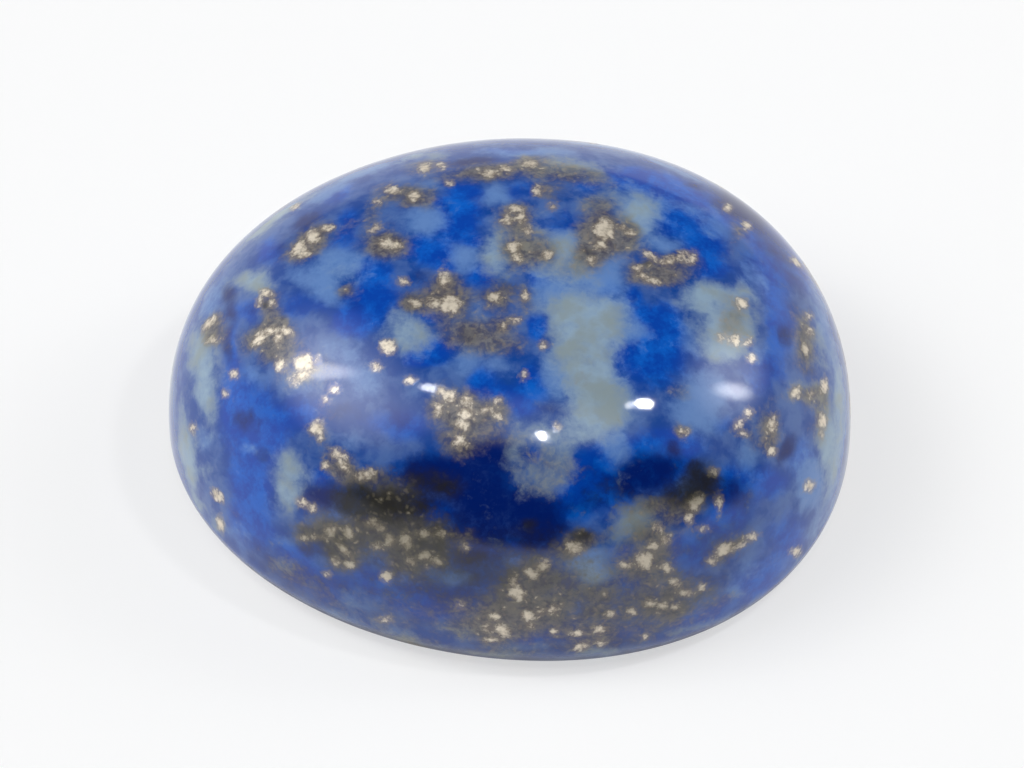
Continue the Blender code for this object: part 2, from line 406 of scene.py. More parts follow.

# %% [markdown]
# Smoke is a dust of dark silicates and fine pyrite in the rock, and soot its densest kind. Both gather
# around the pyrite and along the front of the dome, so they get lists of their own. Across the front of the
# dome and its lower band they are partly painted shade, and the near-black soot there is painted dark
# reflection of the open front in the pyrite.

# %% Smoky patches and nearly black ones, partly painted shade and dark reflection
SMOKE_AND_SHADE = [
    # upper left and top
    (309, 242, 22, 11, 38, 0.9), (385, 245, 20, 13, 0, 0.9), (372, 213, 12, 12, 0, 0.5),
    (347, 291, 11, 9, 0, 0.8), (268, 304, 12, 12, 0, 0.6), (271, 322, 12, 10, 0, 0.5),
    (403, 194, 26, 11, -8, 0.7), (425, 165, 20, 9, 10, 0.5), (482, 172, 32, 9, 5, 0.9),
    (530, 163, 14, 8, 0, 0.8), (568, 172, 40, 12, -8, 0.8), (600, 205, 20, 12, 0, 0.6),
    (425, 200, 14, 10, 0, 0.5), (355, 225, 14, 10, 0, 0.4), (545, 190, 12, 10, 0, 0.5),
    # around the upper grains
    (603, 235, 24, 24, 0, 1), (630, 236, 12, 14, 0, 0.5), (588, 256, 14, 12, 0, 0.7),
    (522, 250, 20, 18, 0, 0.8), (515, 218, 16, 14, 0, 0.6), (545, 252, 14, 12, 0, 0.7),
    (447, 298, 25, 15, 0, 0.85), (410, 302, 13, 8, 0, 0.8), (444, 278, 10, 12, 0, 0.5),
    (500, 297, 14, 14, 0, 0.7), (526, 298, 9, 12, 0, 0.6), (738, 230, 10, 10, 0, 0.5),
    (733, 252, 7, 16, 0, 0.3), (668, 270, 30, 16, 10, 0.6), (655, 275, 22, 10, -10, 0.6),
    (735, 318, 18, 20, 0, 0.5),
    # middle
    (470, 333, 28, 18, 0, 0.9), (500, 345, 24, 12, 0, 0.7), (508, 325, 14, 8, 0, 0.5),
    (570, 270, 15, 12, 0, 0.5), (462, 416, 25, 25, 0, 0.85), (490, 414, 16, 12, 0, 0.6),
    (456, 450, 20, 9, 0, 0.6), (500, 435, 20, 10, 0, 0.5), (440, 408, 12, 12, 0, 0.4),
    (680, 392, 13, 9, 0, 0.5), (682, 432, 9, 8, 0, 0.8), (580, 383, 14, 10, 0, 0.3),
    (770, 430, 10, 22, 0, 0.7), (752, 440, 10, 12, 0, 0.4), (805, 340, 11, 28, 5, 0.9),
    (810, 396, 20, 8, 0, 0.6), (822, 410, 10, 22, 0, 0.5),
    # left
    (213, 330, 12, 14, 0, 0.9), (268, 337, 26, 18, 20, 0.8), (280, 352, 16, 9, 0, 0.5),
    (305, 372, 18, 12, 0, 0.4), (340, 470, 16, 12, -40, 0.8), (368, 478, 18, 9, 10, 0.8),
    (317, 432, 12, 12, 0, 0.4), (187, 450, 8, 24, 10, 0.3), (388, 500, 26, 20, 0, 1),
    (440, 487, 22, 14, 0, 0.2), (318, 531, 26, 13, 0, 0.9), (345, 548, 18, 20, 0, 0.9),
    (378, 532, 22, 14, 0, 0.9), (402, 548, 18, 24, 0, 0.9), (420, 548, 30, 26, 0, 1),
    (405, 525, 22, 10, 0, 0.8), (285, 565, 12, 12, 0, 0.3), (466, 537, 10, 10, 0, 0.6),
    # below; the first patch, over the grey cloud, is painted shade
    (545, 468, 30, 26, 0, 0.55), (585, 540, 18, 8, 10, 0.9), (570, 550, 14, 9, 0, 0.7),
    (655, 506, 24, 9, 0, 0.9), (640, 525, 26, 22, 0, 0.4), (684, 508, 20, 11, 20, 0.7),
    (655, 548, 24, 20, 0, 0.6), (530, 580, 26, 22, 0, 0.7), (555, 600, 34, 20, 0, 0.6),
    (500, 600, 14, 20, 0, 0.5), (495, 626, 24, 18, 0, 0.9), (600, 597, 16, 14, 0, 0.8),
    (568, 580, 14, 12, 0, 0.6), (530, 620, 16, 10, 0, 0.6), (455, 628, 14, 9, 0, 0.5),
    (660, 592, 28, 13, 0, 0.6), (662, 612, 24, 12, 0, 0.6), (728, 550, 20, 10, 28, 0.6),
    # from here on, the wide faint bands over the lower front and the thin strips along the lower edge are
    # painted shade
    (640, 570, 24, 12, 0, 0.5), (690, 588, 24, 10, 0, 0.4), (430, 616, 90, 20, -8, 0.35),
    (570, 632, 110, 20, 0, 0.35), (310, 590, 60, 14, -35, 0.4), (700, 612, 60, 16, 22, 0.4),
    (585, 592, 66, 26, 0, 0.35), (400, 636, 36, 5, -11, 0.4), (520, 655, 50, 4, 0, 0.4),
    (590, 625, 30, 14, 0, 0.3),
]
SOOT_AND_SHADE = [
    # the patches across the front and the wide bands are painted shade and painted dark reflection; the
    # small ones elsewhere are dark gangue
    (362, 503, 24, 15, 0, 1), (345, 497, 16, 12, 0, 0.5), (672, 500, 24, 12, 0, 0.5),
    (395, 505, 20, 14, 0, 0.6), (447, 487, 16, 11, 0, 0.7), (424, 480, 14, 10, 0, 0.4),
    (699, 477, 17, 18, 0, 0.95), (690, 490, 20, 9, 0, 0.7), (530, 522, 8, 6, 0, 0.6),
    (265, 304, 5, 4, 0, 0.8), (645, 263, 7, 5, 0, 0.5), (340, 538, 6, 5, 0, 0.6),
    (582, 536, 12, 5, 10, 0.6), (210, 338, 9, 6, 40, 0.5), (803, 345, 5, 16, 5, 0.5),
    (590, 252, 8, 6, 0, 0.5), (467, 335, 14, 9, 0, 0.3), (428, 542, 14, 6, 0, 0.4),
    (400, 480, 44, 14, 0, 0.5), (340, 535, 40, 26, 0, 0.6), (420, 540, 46, 30, 0, 0.7),
    (395, 508, 30, 14, 0, 0.6), (420, 500, 16, 9, 0, 0.5), (702, 486, 22, 18, 0, 0.6),
    (445, 430, 32, 14, 0, 0.25), (500, 565, 90, 26, 0, 0.5), (645, 558, 60, 30, 0, 0.3),
    (400, 585, 90, 22, 0, 0.35), (570, 606, 100, 26, 0, 0.35), (725, 540, 44, 24, 30, 0.45),
    (540, 534, 30, 12, 0, 0.35), (310, 545, 44, 18, -30, 0.4), (495, 285, 30, 16, 0, 0.3),
    (430, 300, 30, 12, 0, 0.4), (615, 495, 34, 16, 0, 0.4), (690, 600, 50, 16, 20, 0.4),
]

# %% [markdown]
# Pyrite is brassy metal in grains of 0.2 to 0.7 mm, alone or in clusters, cut flat by the polish. Each is
# listed as an oval, which the material frays later. A grain has no strength: it is there or it isn't.

# %% Grains of pyrite
PYRITE = [
    # upper left
    (313, 236, 8, 7, 40), (327, 228, 7, 4, 0), (298, 248, 10, 5, 45), (304, 253, 7, 5, 0),
    (375, 228, 7, 4, 25), (386, 243, 8, 5, 0), (395, 245, 6, 5, 0), (392, 190, 8, 5, 0),
    (414, 196, 7, 5, 0), (425, 167, 7, 6, 0), (440, 165, 5, 4, 0), (377, 202, 4, 3, 0),
    (450, 183, 4, 3, 0), (266, 293, 7, 5, 0), (259, 302, 4, 5, 0), (272, 303, 4, 4, 0),
    (208, 324, 10, 4, 45), (212, 340, 7, 4, 10), (404, 281, 6, 4, 0), (295, 206, 6, 4, 30),
    # top and upper right
    (490, 173, 8, 4, 0), (505, 168, 6, 3, 0), (530, 163, 8, 4, 0), (507, 220, 6, 5, 0),
    (517, 209, 8, 4, 0), (521, 217, 6, 6, 0), (528, 230, 6, 4, -40), (553, 206, 5, 4, 0),
    (514, 247, 7, 6, 0), (517, 256, 5, 5, 0), (548, 255, 6, 4, 0), (537, 190, 5, 5, 0),
    (604, 230, 12, 10, 90), (601, 244, 6, 5, 0), (592, 260, 4, 4, 0), (630, 233, 6, 4, -20),
    (622, 227, 4, 3, 0), (651, 256, 8, 4, -35), (668, 261, 8, 5, 10), (682, 255, 9, 4, 15),
    (692, 258, 5, 5, 0), (637, 268, 5, 4, 0), (643, 276, 6, 3, -30), (654, 281, 8, 3, -10),
    (728, 207, 5, 4, 0), (747, 225, 5, 5, 0), (797, 262, 8, 4, -40), (742, 303, 7, 6, 0),
    # middle
    (444, 280, 9, 5, 100), (450, 304, 11, 10, 0), (435, 303, 9, 5, 0), (416, 303, 6, 4, 0),
    (495, 297, 6, 5, 0), (525, 296, 6, 4, 90), (504, 326, 4, 4, 0), (515, 319, 5, 3, 0),
    (388, 346, 9, 8, 0), (376, 366, 5, 5, 0), (544, 345, 5, 4, 0), (409, 380, 5, 4, 0),
    (441, 391, 4, 4, 0), (450, 396, 8, 6, -20), (466, 400, 6, 5, 0), (466, 413, 8, 7, 90),
    (462, 425, 8, 6, 0), (438, 408, 7, 4, 80), (459, 441, 6, 6, 0), (487, 410, 6, 4, 0),
    (498, 416, 4, 4, 0), (498, 400, 5, 3, 0), (557, 427, 4, 4, 0), (524, 375, 4, 4, 0),
    # left
    (259, 339, 9, 5, 45), (270, 331, 9, 4, 15), (278, 336, 4, 7, 0), (286, 331, 6, 5, 0),
    (280, 365, 6, 6, 0), (304, 362, 11, 10, 0), (301, 375, 11, 5, 25), (295, 381, 6, 4, 20),
    (317, 360, 4, 4, 0), (334, 389, 5, 5, 0), (325, 400, 4, 4, 0), (234, 374, 5, 5, 0),
    (225, 393, 4, 4, 0), (317, 428, 8, 8, 0), (320, 438, 3, 5, 0), (338, 455, 8, 6, 0),
    (344, 466, 7, 4, -60), (325, 465, 4, 5, 0), (365, 475, 10, 5, 15), (192, 428, 4, 5, 0),
    (217, 496, 8, 5, -50), (220, 524, 9, 4, 100), (303, 503, 7, 4, -30), (313, 508, 4, 4, 0),
    # lower left
    (331, 531, 8, 5, 20), (318, 538, 8, 2, 0), (304, 538, 4, 3, 0), (348, 534, 5, 6, 0),
    (343, 549, 9, 4, -50), (336, 562, 5, 4, 0), (349, 564, 5, 4, 0), (372, 522, 6, 4, 0),
    (380, 528, 5, 4, 0), (390, 540, 5, 6, 0), (377, 546, 5, 3, 0), (386, 577, 6, 6, 0),
    (327, 574, 4, 3, 0), (385, 620, 7, 3, 0), (406, 542, 9, 6, 90), (424, 534, 7, 4, 0),
    (442, 534, 6, 3, 0), (424, 556, 6, 5, 0), (437, 562, 6, 4, 0), (411, 562, 5, 4, 0),
    (466, 547, 4, 4, 0), (460, 606, 4, 4, 0),
    # lower middle
    (574, 548, 9, 7, -20), (543, 566, 8, 5, 30), (531, 574, 8, 5, -20), (514, 583, 6, 5, 90),
    (517, 594, 9, 7, 0), (495, 617, 5, 4, 0), (503, 631, 9, 6, -30), (487, 628, 4, 5, 0),
    (492, 640, 8, 3, 0), (528, 616, 7, 5, 0), (541, 612, 4, 3, 0), (552, 610, 8, 4, 20),
    (530, 626, 4, 3, 0), (554, 632, 5, 4, 0), (577, 634, 7, 4, 0), (600, 630, 7, 5, 0),
    (581, 647, 8, 4, 20), (601, 644, 5, 3, 0), (612, 614, 5, 4, 0), (632, 612, 5, 4, 0),
    # lower right
    (696, 503, 10, 6, 40), (689, 519, 5, 5, 0), (703, 529, 5, 3, 0), (719, 503, 8, 4, 90),
    (658, 528, 5, 5, 0), (666, 540, 6, 4, 30), (653, 546, 5, 4, 0), (645, 561, 9, 9, 0),
    (625, 565, 7, 4, 0), (667, 568, 6, 5, 0), (676, 584, 6, 4, -40), (688, 593, 7, 4, 0),
    (703, 588, 5, 4, 0), (725, 550, 12, 6, 30), (712, 561, 5, 5, 0), (741, 545, 5, 3, 20),
    (752, 537, 7, 4, 15), (650, 604, 5, 4, 0), (663, 606, 6, 4, 0), (675, 607, 5, 4, 0),
    (645, 637, 4, 3, 0), (714, 471, 5, 4, 0), (684, 432, 5, 4, 0),
    # right
    (735, 340, 7, 6, 0), (748, 342, 5, 4, 0), (721, 337, 4, 4, 0), (739, 424, 8, 4, 45),
    (749, 413, 5, 4, 0), (743, 433, 4, 3, 0), (773, 425, 10, 4, 90), (773, 451, 5, 5, 0),
    (796, 392, 6, 6, 0), (811, 393, 4, 3, 0), (825, 385, 8, 4, 90), (823, 421, 8, 5, 90),
    (822, 434, 5, 3, 90), (805, 349, 6, 4, 110), (810, 316, 4, 3, 0), (810, 331, 4, 4, 0),
    (810, 486, 6, 6, 0), (797, 552, 6, 5, 0), (752, 358, 5, 4, 0),
]
clouds_listed = CLEAR_BLUE + DEEP_BLUE_AND_FRONT_SHADE + PALE_BLUE + CALCITE_AND_RIM_SHEEN + SMOKE_AND_SHADE + SOOT_AND_SHADE
print("markings:", len(clouds_listed), "clouds and", len(PYRITE), "grains")

# %% [markdown]
# The sides that the picture doesn't show carry the same kinds of markings. A seeded draw strews them over
# the far side, the lower edge and the base: clouds first, then clusters of grains around common middles.

# %% Strew the hidden sides
HIDDEN_SEED = 7
HIDDEN_FACING = 0.12
NARROWEST = 0.5
CLUSTER_REACH_MM = (0.4, 1.3)
CLUSTER_GRAINS = (1, 7)
GRAIN_HALF_MM = (0.08, 0.26)
TURN_LIFT = 0.3

draw = random.Random(HIDDEN_SEED)
hidden = np.flatnonzero(normals @ np.array(to_camera) < HIDDEN_FACING)


def hidden_patch(index, long_half, short_half):
    """A patch of this size in millimetres on a corner of the skin, turned at random."""
    normal = normals[index]
    turn = draw.uniform(0, math.pi)
    aside = np.cross(normal, (math.cos(turn), math.sin(turn), TURN_LIFT))
    aside /= np.linalg.norm(aside)
    return skin[index], normal, aside * long_half * MM, np.cross(normal, aside) * short_half * MM


def strew(count, smallest, largest, weakest):
    """Clouds on the hidden sides, with half sizes in millimetres and a least strength."""
    found = []
    for _ in range(count):
        half = draw.uniform(smallest, largest)
        patch = hidden_patch(draw.choice(hidden), half, half * draw.uniform(NARROWEST, 1))
        found.append((*patch, draw.uniform(weakest, 1)))
    return found


def strew_clusters(clusters):
    """Grains on the hidden sides, gathered in clusters."""
    found = []
    for _ in range(clusters):
        middle = skin[draw.choice(hidden)]
        near = hidden[np.linalg.norm(skin[hidden] - middle, axis=1) < draw.uniform(*CLUSTER_REACH_MM) * MM]
        for _ in range(draw.randint(*CLUSTER_GRAINS)):
            half = draw.uniform(*GRAIN_HALF_MM)
            found.append(hidden_patch(draw.choice(near), half, half * draw.uniform(NARROWEST, 1)))
    return found


def seen(marks):
    """The clouds of a given list, each with its strength at the end."""
    return [(*patch_behind(*oval), strength) for *oval, strength in marks]


PATCHES = {
    "clear": seen(CLEAR_BLUE) + strew(90, 0.3, 0.9, 0.6),
    "deep": seen(DEEP_BLUE_AND_FRONT_SHADE) + strew(50, 0.2, 0.6, 0.4),
    "pale": seen(PALE_BLUE) + strew(60, 0.25, 0.8, 0.5),
    "calcite": seen(CALCITE_AND_RIM_SHEEN) + strew(45, 0.25, 0.8, 0.5),
    "smoke_and_shade": seen(SMOKE_AND_SHADE) + strew(60, 0.25, 0.6, 0.4),
    "soot_and_shade": seen(SOOT_AND_SHADE) + strew(10, 0.15, 0.35, 0.5),
}
GRAINS = [patch_behind(*oval) for oval in PYRITE] + strew_clusters(60)
print("patches:", {kind: len(patches) for kind, patches in PATCHES.items()}, "grains:", len(GRAINS))

# %% [markdown]
# Each kind becomes a number on every corner of the skin. A cloud fades from its middle, and a wandering of
# the place by seeded noise makes its outline ragged. A grain has an edge: its number is the distance inside
# that edge, in tenths of a millimetre, so that the material can cut it between two corners. Around the
# grains lies a halo, where the rock is darker and richer in fine pyrite.

# %% Turn the patches into attributes of the skin
WANDER_SEED = 4
WANDER_WIDTH = 0.55 * MM
WANDER_REACH = 0.14 * MM
FINE_WANDER_WIDTH = 0.22 * MM
FINE_WANDER_REACH = 0.05 * MM
PATCH_DEPTH = 3
CLOUD_SPREAD = 2.2
CLOUD_FADE = 0.75
CLOUD_FLATNESS = 2.4
GRAIN_SPREAD = 3.5
GRAIN_UNIT = 0.1 * MM
NO_GRAIN = -4.0
HALO_SPREAD = 4.5
HALO_FADE = 0.16
HALO_STRENGTH = 0.5

noise.seed_set(WANDER_SEED)
wandering = np.array([
    noise.noise_vector(Vector(place / WANDER_WIDTH)) * WANDER_REACH
    + noise.noise_vector(Vector(place / FINE_WANDER_WIDTH)) * FINE_WANDER_REACH
    for place in skin
])
ragged_skin = skin + wandering

tree = KDTree(len(skin))
for index, place in enumerate(skin):
    tree.insert(place, index)
tree.balance()


def near_patch(patch, spread, places):
    """Corners near a patch, and how far out they are: 0 in the middle, 1 on its edge."""
    middle, normal, long_axis, short_axis = patch[:4]
    long_half, short_half = np.linalg.norm(long_axis), np.linalg.norm(short_axis)
    reach = spread * max(long_half, short_half)
    nearby = np.array([index for _, index, _ in tree.find_range(middle, reach)], int)
    offset = places[nearby] - middle
    along = offset @ long_axis / long_half**2
    across = offset @ short_axis / short_half**2
    deep = offset @ normal / (PATCH_DEPTH * max(long_half, short_half))
    return nearby, np.sqrt(along**2 + across**2 + deep**2), min(long_half, short_half)


def clouds(patches):
    """How thick a mineral lies on each corner: overlapping clouds add up towards 1."""
    field = np.zeros(len(skin))
    for patch in patches:
        nearby, out, _ = near_patch(patch, CLOUD_SPREAD, ragged_skin)
        strength = patch[-1]
        thickness = strength * np.exp(-CLOUD_FADE * out**CLOUD_FLATNESS)
        field[nearby] = 1 - (1 - field[nearby]) * (1 - thickness)
    return field


def grains(patches):
    """How far each corner is inside the nearest grain, and below 0 outside it."""
    field = np.full(len(skin), NO_GRAIN)
    for patch in patches:
        nearby, out, half = near_patch(patch, GRAIN_SPREAD, skin)
        inside = (1 - out) * half / GRAIN_UNIT
        field[nearby] = np.maximum(field[nearby], inside)
    return field


def halos(patches):
    """A soft ring around each grain, thicker where grains crowd."""
    field = np.zeros(len(skin))
    for patch in patches:
        nearby, out, _ = near_patch(patch, HALO_SPREAD, ragged_skin)
        field[nearby] += HALO_STRENGTH * np.exp(-HALO_FADE * out**2)
    return 1 - np.exp(-field)


def store(name, values):
    """Keeps a number per corner on the skin, for the material to read."""
    layer = stone.data.attributes.new(name, "FLOAT", "POINT")
    layer.data.foreach_set("value", values.astype(np.float32))
    print(name, "covers", round(float((values > 0.5).mean()), 3))


for kind, patches in PATCHES.items():
    store(kind, clouds(patches))
store("pyrite", grains(GRAINS))
store("halo", halos(GRAINS))

# %% [markdown]
# ## Polish that is not quite even
#
# Hard lazurite, softer calcite and brittle pyrite wear at different rates on the polishing wheel, and a
# hand never holds the stone quite still. So the dome has faint swells of about a hundredth of a millimetre.
# It is too little to see as form, but a mirror shows it at once.

# %% Press faint swells into the skin
SWELL_DEPTH = 0.010 * MM
SWELL_WIDTH = 3.0 * MM
BASE_TOP = 0.01 * MM

swell = np.array([noise.noise(Vector(place / SWELL_WIDTH)) for place in skin])
inward = SWELL_DEPTH * (1 + swell)
inward[skin[:, 2] < BASE_TOP] = 0
set_corners(stone, skin - normals * inward[:, None])

# %% [markdown]
# ## Writing shader maths as expressions
#
# A material is a network of nodes. Written out one by one, the arithmetic gets lost among the links, so one
# small class wraps a socket: adding or multiplying two of them adds the Math node, and node() adds any
# other.

# %% A socket that takes part in arithmetic
class Wire:
    """A socket of a node tree; arithmetic with it adds nodes."""

    def __init__(self, tree, socket=None):
        self.tree = tree
        self.socket = socket

    def node(self, kind, settings=None, sockets=None, output=0):
        """Adds a node, sets it up, gives its sockets values or links, and returns one output."""
        made = self.tree.nodes.new(kind)
        for name, value in (settings or {}).items():
            setattr(made, name, value)
        for name, value in (sockets or {}).items():
            if isinstance(value, Wire):
                self.tree.links.new(value.socket, made.inputs[name])
            else:
                made.inputs[name].default_value = value
        return Wire(self.tree, made.outputs[output] if made.outputs else None)

    def maths(self, operation, *values):
        """Adds a Math node with this socket as its first input."""
        return self.node("ShaderNodeMath", {"operation": operation}, dict(enumerate((self, *values))))

    def __add__(self, other):
        return self.maths("ADD", other)

    __radd__ = __add__

    def __mul__(self, other):
        return self.maths("MULTIPLY", other)

    __rmul__ = __mul__

    def __sub__(self, other):
        return self.maths("SUBTRACT", other)

    def __rsub__(self, other):
        return self.node("ShaderNodeMath", {"operation": "SUBTRACT"}, {0: other, 1: self})

    def between(self, low, high):
        """0 up to low, 1 from high on, and a smooth step between them."""
        return self.node(
            "ShaderNodeMapRange",
            {"interpolation_type": "SMOOTHSTEP"},
            {"Value": self, "From Min": low, "From Max": high},
        )

    def blend(self, first, second):
        """A colour between two colours, by this value."""
        return self.node(
            "ShaderNodeMix",
            {"data_type": "RGBA"},
            {"Factor": self, 6: as_colour(first), 7: as_colour(second)},
            output=2,
        )


def as_colour(value):
    """A wire as it is, or three numbers made an opaque colour."""
    return value if isinstance(value, Wire) else (*value, 1)


# %% [markdown]
# ## The polished rock
#
# One mineral never has one colour only. A broad noise and a blotchy one break up the blue, another frays
# the edges of the clouds, and a fine one gives the grain of the rock. The finish differs too: the blue is
# almost a mirror, smoke a little softer, pyrite rough metal, and the edge and the base are only ground.

# %% Start the material and read the pattern
rock = bpy.data.materials.new("polished_lapis_lazuli")
rock.use_nodes = True
network = rock.node_tree
network.nodes.clear()
start = Wire(network)

place = start.node("ShaderNodeTexCoord", output="Object")

RAGGED_WIDTH = 0.6 * MM
RAGGED_REACH = 0.5 * MM
FRAY_WIDTH = 0.40 * MM
FINE_WIDTH = 0.11 * MM
BROAD_WIDTH = 1.5 * MM
BLOTCH_WIDTH = 0.62 * MM
NOISE_MIDDLE = 0.5


def attribute(name):
    """The number that the skin keeps under this name."""
    return start.node("ShaderNodeAttribute", {"attribute_name": name}, output="Fac")


def rock_noise(vector, size, detail=4.0, roughness=0.6, output="Fac"):
    """Noise whose features are about this many metres wide; its values lie around 0.5."""
    return start.node(
        "ShaderNodeTexNoise",
        None,
        {"Vector": vector, "Scale": 1 / size, "Detail": detail, "Roughness": roughness},
        output=output,
    )


def pushed(vector, size, distance):
    """The place, pushed about by noise, so that what is drawn there gets ragged."""
    kind = "ShaderNodeVectorMath"
    wander = rock_noise(vector, size, output="Color")
    centred = start.node(kind, {"operation": "SUBTRACT"}, {0: wander, 1: (NOISE_MIDDLE,) * 3})
    scaled = start.node(kind, {"operation": "SCALE"}, {0: centred, "Scale": distance})
    return start.node(kind, {"operation": "ADD"}, {0: vector, 1: scaled})


ragged = pushed(place, RAGGED_WIDTH, RAGGED_REACH)
fray = rock_noise(ragged, FRAY_WIDTH, detail=5, roughness=0.65) - NOISE_MIDDLE
fine = rock_noise(place, FINE_WIDTH, detail=3, roughness=0.6) - NOISE_MIDDLE
broad = rock_noise(ragged, BROAD_WIDTH, detail=3) - NOISE_MIDDLE
blotches = rock_noise(ragged, BLOTCH_WIDTH, detail=3, roughness=0.5) - NOISE_MIDDLE

# %% [markdown]
# The blue runs from a hazy blue, where calcite is finely mixed in, to a clear one and a deep one. Over it
# lie the pale veils and then the grey clouds, cool in some parts and warmer in others. Each mineral's
# number is frayed by noise before it becomes a share, so no outline stays an oval.

# %% Mix the blues and the calcite
HAZY_BLUE = (0.066, 0.135, 0.365)
PLAIN_BLUE = (0.006, 0.055, 0.285)
CLEAR_BLUE_TONE = (0.001, 0.052, 0.370)
BRIGHT_BLUE_TONE = (0.002, 0.108, 0.530)
DEEP_BLUE_TONE = (0.001, 0.012, 0.125)
PALE_BLUE_TONE = (0.122, 0.240, 0.515)
CALCITE_COOL = (0.258, 0.365, 0.480)
CALCITE_WARM = (0.238, 0.300, 0.325)
BLUE_FRAY = 0.8
CALCITE_FRAY = 0.9
CALCITE_BLOTCHES = 0.7
GRAININESS = 0.2
THINNEST = 0.1
VEIL_COVER = 0.9


def calcite_share(name, full):
    """How much of a calcite kind shows, from nothing to all of it where its number reaches full."""
    number = attribute(name) + fray * CALCITE_FRAY + blotches * CALCITE_BLOTCHES + fine * GRAININESS
    return number.between(THINNEST, full)


def blue_share(name, full):
    """How much of a blue kind shows; its outline is less blotchy than calcite's."""
    return (attribute(name) + fray * BLUE_FRAY + fine * GRAININESS).between(THINNEST, full)


haze = (broad + blotches).between(-0.18, 0.22)
blue = haze.blend(PLAIN_BLUE, HAZY_BLUE)
clear = (blotches + fine * 0.4).between(-0.15, 0.2).blend(CLEAR_BLUE_TONE, BRIGHT_BLUE_TONE)
blue = blue_share("clear", 0.85).blend(blue, clear)
blue = blue_share("deep", 0.95).blend(blue, DEEP_BLUE_TONE)
veiled = (calcite_share("pale", 1.0) * VEIL_COVER).blend(blue, PALE_BLUE_TONE)
grey = haze.blend(CALCITE_COOL, CALCITE_WARM)
clouded = calcite_share("calcite", 1.05).blend(veiled, grey)

# %% [markdown]
# Smoke is a grey-brown veil over whatever lies there, and soot its nearly black kind. Around each grain of
# pyrite there is a thin halo of smoke. Across the front of the dome both are partly painted shade, and the
# soot there is partly painted dark reflection.

# %% Add the smoke and the soot, with the painted shade across the front
SMOKE_AND_SHADE_PALE = (0.195, 0.178, 0.142)
SMOKE_AND_SHADE_BROWN = (0.082, 0.070, 0.060)
SOOT_AND_SHADE_BLACK = (0.017, 0.016, 0.011)
MOTTLE_WIDTH = 0.20 * MM
SMOKE_AND_SHADE_COVER = 0.85
SOOT_AND_SHADE_COVER = 0.92

halo = attribute("halo")
smoke_and_shade = (attribute("smoke_and_shade") + halo * 0.5 + fray * 0.9 + fine * 0.3).between(0.12, 1.0)
mottle = rock_noise(ragged, MOTTLE_WIDTH, detail=3) - NOISE_MIDDLE
brown = (mottle + fray * 0.4 + fine * 0.4 + halo * 0.08).between(-0.2, 0.25).blend(SMOKE_AND_SHADE_BROWN, SMOKE_AND_SHADE_PALE)
# the smoke mix also lays painted shade over the front of the dome
smoky_and_shaded = (smoke_and_shade * SMOKE_AND_SHADE_COVER).blend(clouded, brown)
soot_and_shade = (attribute("soot_and_shade") + fray * 0.7 + fine * 0.3).between(THINNEST, 1.0)
# the soot mix also lays painted shade and painted dark reflection over the front
sooty_and_shaded = (soot_and_shade * SOOT_AND_SHADE_COVER).blend(smoky_and_shaded, SOOT_AND_SHADE_BLACK)

# %% [markdown]
# Pyrite comes in two sizes: the listed grains, and in the smoke between them flecks too small to list. A
# cell pattern gives the flecks, each with a brightness of its own. Polished pyrite is pale brass, dull
# where its surface is pitted. Where it lies in soot, mostly across the front, it is painted dark as painted
# dark reflection of the open front of the tent.

# %% Sprinkle the pyrite
PYRITE_PALE = (0.780, 0.700, 0.575)
PYRITE_DULL = (0.340, 0.280, 0.205)
PYRITE_IN_DARK_REFLECTION = (0.160, 0.145, 0.095)
FLECK_SPACING = 0.19 * MM
FLECK_SHARE = 0.75
PAINTED_DARK_REFLECTION = 0.75

fleck_cells = {"Vector": ragged, "Scale": 1 / FLECK_SPACING}
from_middle = start.node("ShaderNodeTexVoronoi", {"feature": "F1"}, fleck_cells, output="Distance")
own_colour = start.node("ShaderNodeTexVoronoi", {"feature": "F1"}, fleck_cells, output="Color")
own_brightness = start.node("ShaderNodeSeparateXYZ", None, {0: own_colour}, output="X")
flecks = (1 - from_middle.between(0.05, 0.5)) * own_brightness * smoke_and_shade * FLECK_SHARE

grain = attribute("pyrite") + fine * 1.3 + mottle * 2.0 + fray * 0.9
pyrite = grain.between(-1.1, 1.4)
metal = pyrite.maths("MAXIMUM", flecks)
brassy = (fine * 1.2 + mottle * 1.4 + metal).between(0.35, 1.25).blend(PYRITE_DULL, PYRITE_PALE)
# painted dark reflection: where soot lies, the pyrite is darkened as if it mirrored the open front of the
# tent
pyrite_with_dark_reflection = (soot_and_shade * PAINTED_DARK_REFLECTION).blend(brassy, PYRITE_IN_DARK_REFLECTION)
surface_colour = metal.blend(sooty_and_shaded, pyrite_with_dark_reflection)

# %% [markdown]
# The polish ends a little below the girdle. From there the rounded edge is only ground, grey-brown and
# matt, and so is the flat base, as on most cabochons. From above, the edge shows as a thin dark line around
# the stone; its dark grey is partly painted shade of the contact with the floor. The pyrite and the fine
# grain of the rock also stand out a little, as relief in the polish.

# %% Give each mineral its finish
POLISH = 0.06
PYRITE_ROUGHNESS = 0.34
SMOKE_ROUGHNESS = 0.06
GROUND_ROUGHNESS = 0.45
GRAIN_ROUGHNESS = 0.05
PYRITE_METAL = 0.35
STONE_IOR = 1.5
GROUND_AND_SHADE_GREY = (0.105, 0.100, 0.095)
GROUND_AND_SHADE_COVER = 0.65
GROUND_BELOW = 0.60 * MM
POLISHED_ABOVE = 1.12 * MM
EDGE_WAVER = 0.35 * MM
RELIEF_STRENGTH = 0.2
RELIEF_HEIGHT = 0.01 * MM

above_base = start.node("ShaderNodeSeparateXYZ", None, {0: place}, output="Z")
ground_and_shaded_edge = 1 - (above_base + fray * EDGE_WAVER).between(GROUND_BELOW, POLISHED_ABOVE)
